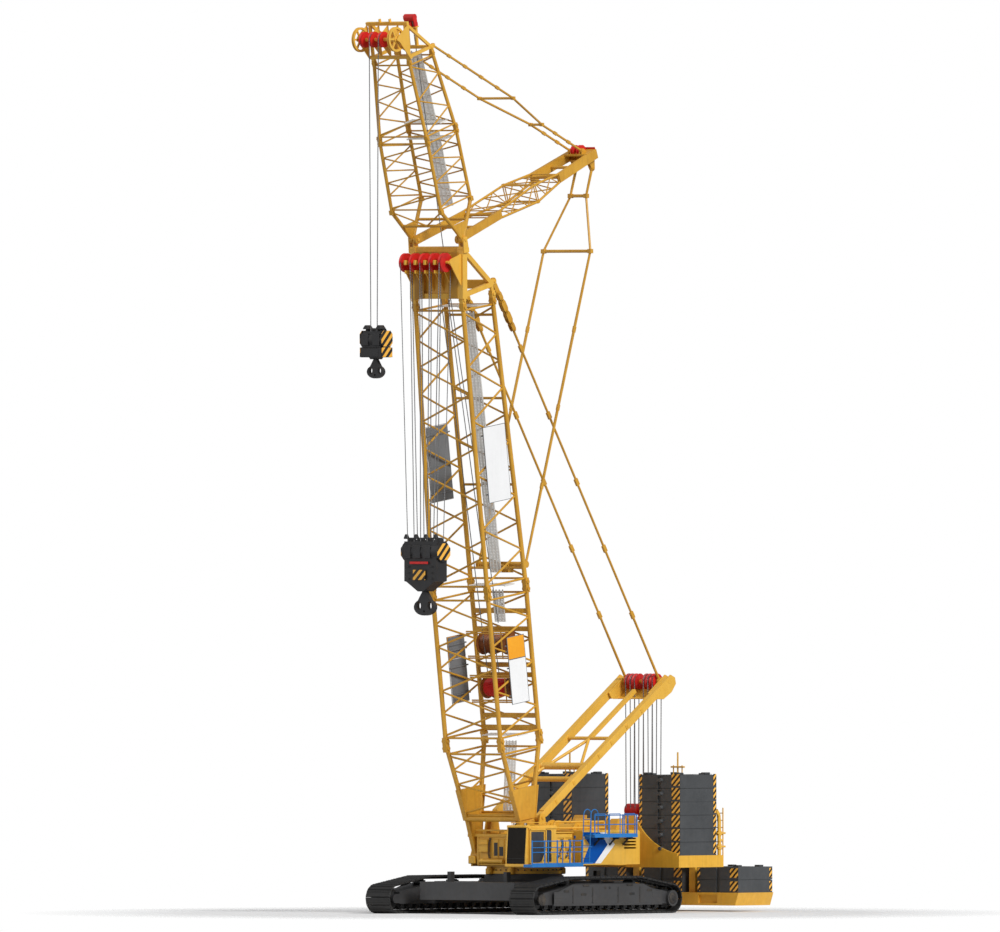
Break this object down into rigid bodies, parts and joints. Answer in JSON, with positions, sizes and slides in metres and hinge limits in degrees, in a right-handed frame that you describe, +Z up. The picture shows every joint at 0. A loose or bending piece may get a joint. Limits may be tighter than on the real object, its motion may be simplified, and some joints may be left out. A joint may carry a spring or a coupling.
{
  "type": "crawler crane",
  "caption": "Crawler crane with lattice main boom, luffing jib, boom-hoist mast, counterweight stacks and two hook blocks; slews, luffs and hoists.",
  "frame": {"origin": "centre of the machine's bounding box at ground level, on the centre plane", "axes": "+Z up, +X forward over the boom side, +Y to the operator's left"},
  "size_m": [21.6338, 9, 37.3872],
  "materials": {
    "yellow_paint": "satin",
    "dark_grey_paint": "satin",
    "track_steel": "matte",
    "ballast_grey_paint": "satin",
    "blue_paint": "satin",
    "tinted_glass": "glossy",
    "red_paint": "satin",
    "seat_fabric": "matte",
    "engine_iron": "matte",
    "galvanised_grating": "satin",
    "winch_brown": "satin",
    "hook_black_paint": "satin"
  },
  "bodies": {
    "undercarriage": {"carbody": "dark_grey_paint", "slewing_ring_lower": "dark_grey_paint", "carbody_ballast": "dark_grey_paint", "track_frame_left": "dark_grey_paint", "track_frame_right": "dark_grey_paint", "track_wheels_left": "dark_grey_paint", "track_wheels_right": "dark_grey_paint", "track_left": "track_steel", "track_right": "track_steel"},
    "superstructure": {"turntable_frame": "yellow_paint", "slewing_ring_upper": "yellow_paint", "machinery_house_left": "yellow_paint", "machinery_house_right": "yellow_paint", "hydraulic_cabinet": "yellow_paint", "engine_block": "engine_iron", "cab_shell": "yellow_paint", "cab_windows": "tinted_glass", "operator_seat": "seat_fabric", "walkways": "blue_paint", "handrails": "blue_paint", "deck_winches": "winch_brown", "boom_hoist_sheaves": "red_paint", "ballast_tray": "yellow_paint", "ballast_stack_left": "ballast_grey_paint", "ballast_stack_right": "ballast_grey_paint", "ballast_posts": "yellow_paint", "rear_ladder": "yellow_paint", "lower_ballast_tray": "yellow_paint", "lower_ballast_blocks": "ballast_grey_paint"},
    "cab_door": {"cab_door": "yellow_paint", "cab_door_window": "tinted_glass"},
    "boom": {"boom_foot": "yellow_paint", "boom_base": "yellow_paint", "boom_taper": "yellow_paint", "boom_head": "yellow_paint", "boom_winches": "winch_brown", "boom_catwalk": "galvanised_grating"},
    "main_sheaves": {"main_sheaves": "red_paint"},
    "main_hook": {"main_hook_block": "hook_black_paint", "main_hook": "hook_black_paint"},
    "mast": {"mast_frame": "yellow_paint", "mast_sheaves": "red_paint"},
    "boom_pendants": {"boom_pendants": "yellow_paint"},
    "jib": {"jib_base": "yellow_paint", "jib_top": "yellow_paint", "jib_head": "yellow_paint", "jib_rope_guide": "red_paint", "strut": "yellow_paint", "jib_pendants": "yellow_paint"},
    "backstays": {"backstays": "yellow_paint"},
    "jib_wheels": {"jib_wheels": "yellow_paint"},
    "jib_sheaves": {"jib_sheaves": "red_paint"},
    "aux_hook": {"aux_hook_block": "hook_black_paint", "aux_hook": "hook_black_paint"}
  },
  "joints": [
    {"name": "slew", "type": "hinge", "parent": "undercarriage", "child": "superstructure", "pos_m": [0.6, 0, 1.58], "axis": [0, 0, 1], "continuous": true},
    {"name": "cab_door_slide", "type": "slide", "parent": "superstructure", "child": "cab_door", "axis": [-1, 0, 0], "range_m": [0, 0.705]},
    {"name": "boom_luff", "type": "hinge", "parent": "superstructure", "child": "boom", "pos_m": [2, 0, 2.33], "axis": [0, -1, 0], "range_deg": [-17, 3]},
    {"name": "mast_luff", "type": "hinge", "parent": "superstructure", "child": "mast", "pos_m": [1.16, 0, 4], "axis": [0, -1, 0], "range_deg": [-19.95, 3.6]},
    {"name": "boom_pendant_swing", "type": "hinge", "parent": "mast", "child": "boom_pendants", "pos_m": [-7.35, 0, 9.62], "axis": [0, -1, 0], "range_deg": [-0.5, 2.5]},
    {"name": "main_sheave_level", "type": "hinge", "parent": "boom", "child": "main_sheaves", "pos_m": [7.1011, 0, 27.07227], "axis": [0, -1, 0], "range_deg": [-3.1, 17.1]},
    {"name": "main_hoist", "type": "slide", "parent": "main_sheaves", "child": "main_hook", "axis": [0, 0, -1], "range_m": [-9, 11.5]},
    {"name": "jib_luff", "type": "hinge", "parent": "boom", "child": "jib", "pos_m": [6.30018, 0, 28.03227], "axis": [0, -1, 0], "range_deg": [-53, 2]},
    {"name": "backstay_swing", "type": "hinge", "parent": "jib", "child": "backstays", "pos_m": [-3.38956, 0, 31.06325], "axis": [0, -1, 0], "range_deg": [-1.4, 35.1]},
    {"name": "jib_wheel_level", "type": "hinge", "parent": "jib", "child": "jib_wheels", "pos_m": [10.21883, 0, 36.30264], "axis": [0, -1, 0], "range_deg": [-2.1, 53.1]},
    {"name": "jib_sheave_level", "type": "hinge", "parent": "jib_wheels", "child": "jib_sheaves", "pos_m": [10.21883, 0, 36.30264], "axis": [0, -1, 0], "range_deg": [-3.1, 17.1]},
    {"name": "aux_hoist", "type": "slide", "parent": "jib_sheaves", "child": "aux_hook", "axis": [0, 0, -1], "range_m": [-9.5, 20]}
  ],
  "couplings": [
    {"joint": "mast_luff", "follows": "boom_luff", "ratio": 1.17},
    {"joint": "boom_pendant_swing", "follows": "boom_luff", "ratio": -0.14},
    {"joint": "main_sheave_level", "follows": "boom_luff", "ratio": -1},
    {"joint": "backstay_swing", "follows": "jib_luff", "ratio": -0.66},
    {"joint": "jib_wheel_level", "follows": "jib_luff", "ratio": -1},
    {"joint": "jib_sheave_level", "follows": "boom_luff", "ratio": -1}
  ]
}
